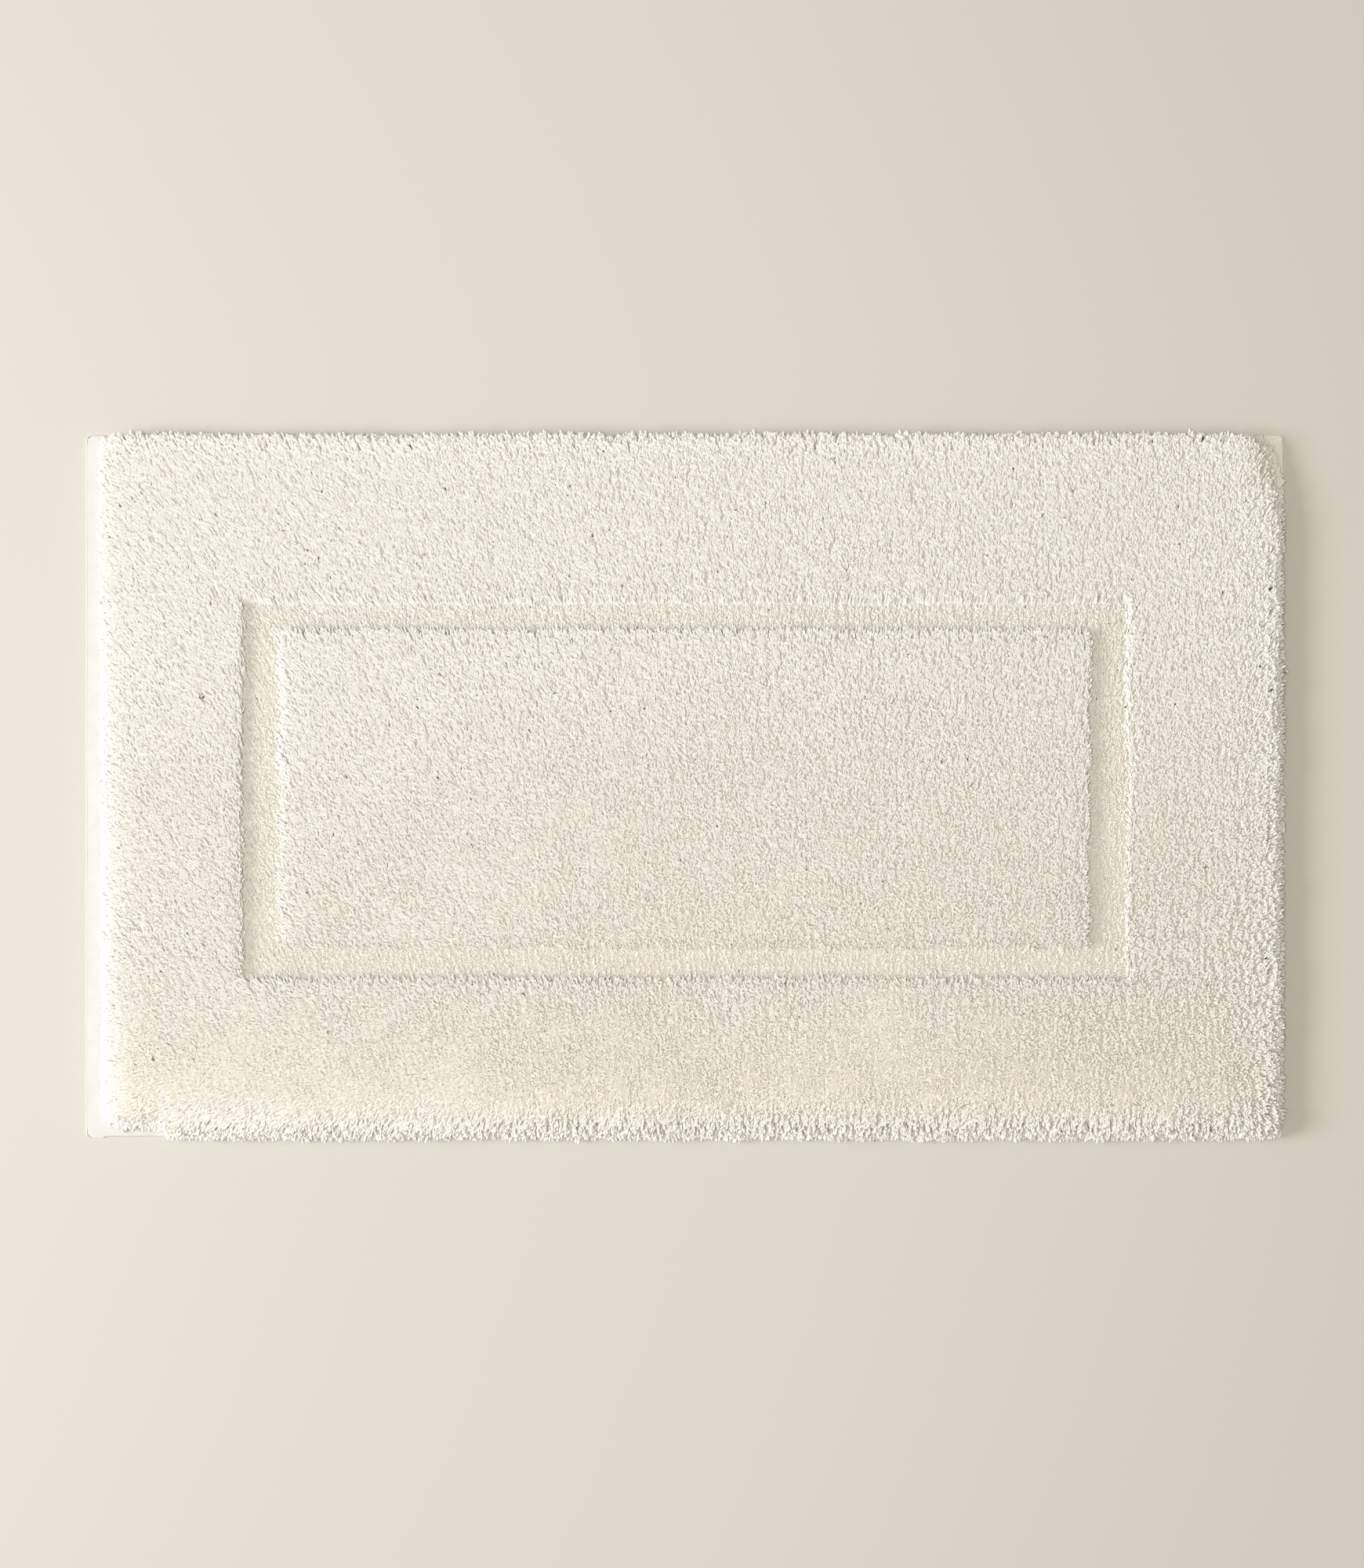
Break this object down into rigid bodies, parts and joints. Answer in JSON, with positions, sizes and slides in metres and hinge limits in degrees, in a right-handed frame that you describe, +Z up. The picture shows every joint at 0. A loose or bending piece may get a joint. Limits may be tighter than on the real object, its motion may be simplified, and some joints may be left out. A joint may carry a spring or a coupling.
{
  "type": "bath mat",
  "caption": "Rectangular tufted cotton bath mat with hemmed edges, a high-pile border and centre panel, and a low-pile channel between them.",
  "frame": {"origin": "centre of the flat underside, on the floor the mat lies on", "axes": "+X along the length of the mat, towards its right end; +Y along its width, towards the far long side; +Z up, out of the pile"},
  "size_m": [0.864, 0.506, 0.02],
  "materials": {
    "cotton_pile": "cream cut-pile cotton yarn, matt",
    "sheared_pile": "cream sheared cotton yarn, matt",
    "cotton_cloth": "off-white plain-woven cotton, matt",
    "latex": "off-white latex coat, dull",
    "sewing_thread": "white sewing thread"
  },
  "bodies": {
    "root": {"latex_coat": "latex", "ground_cloth": "cotton_cloth", "border_pile": "cotton_pile", "channel_pile": "sheared_pile", "centre_pile": "cotton_pile", "hem_left": "cotton_cloth", "hem_right": "cotton_cloth", "hem_front": "cotton_cloth", "hem_back": "cotton_cloth", "hem_thread_left": "sewing_thread", "hem_thread_right": "sewing_thread", "hem_thread_front": "sewing_thread", "hem_thread_back": "sewing_thread"}
  },
  "joints": []
}
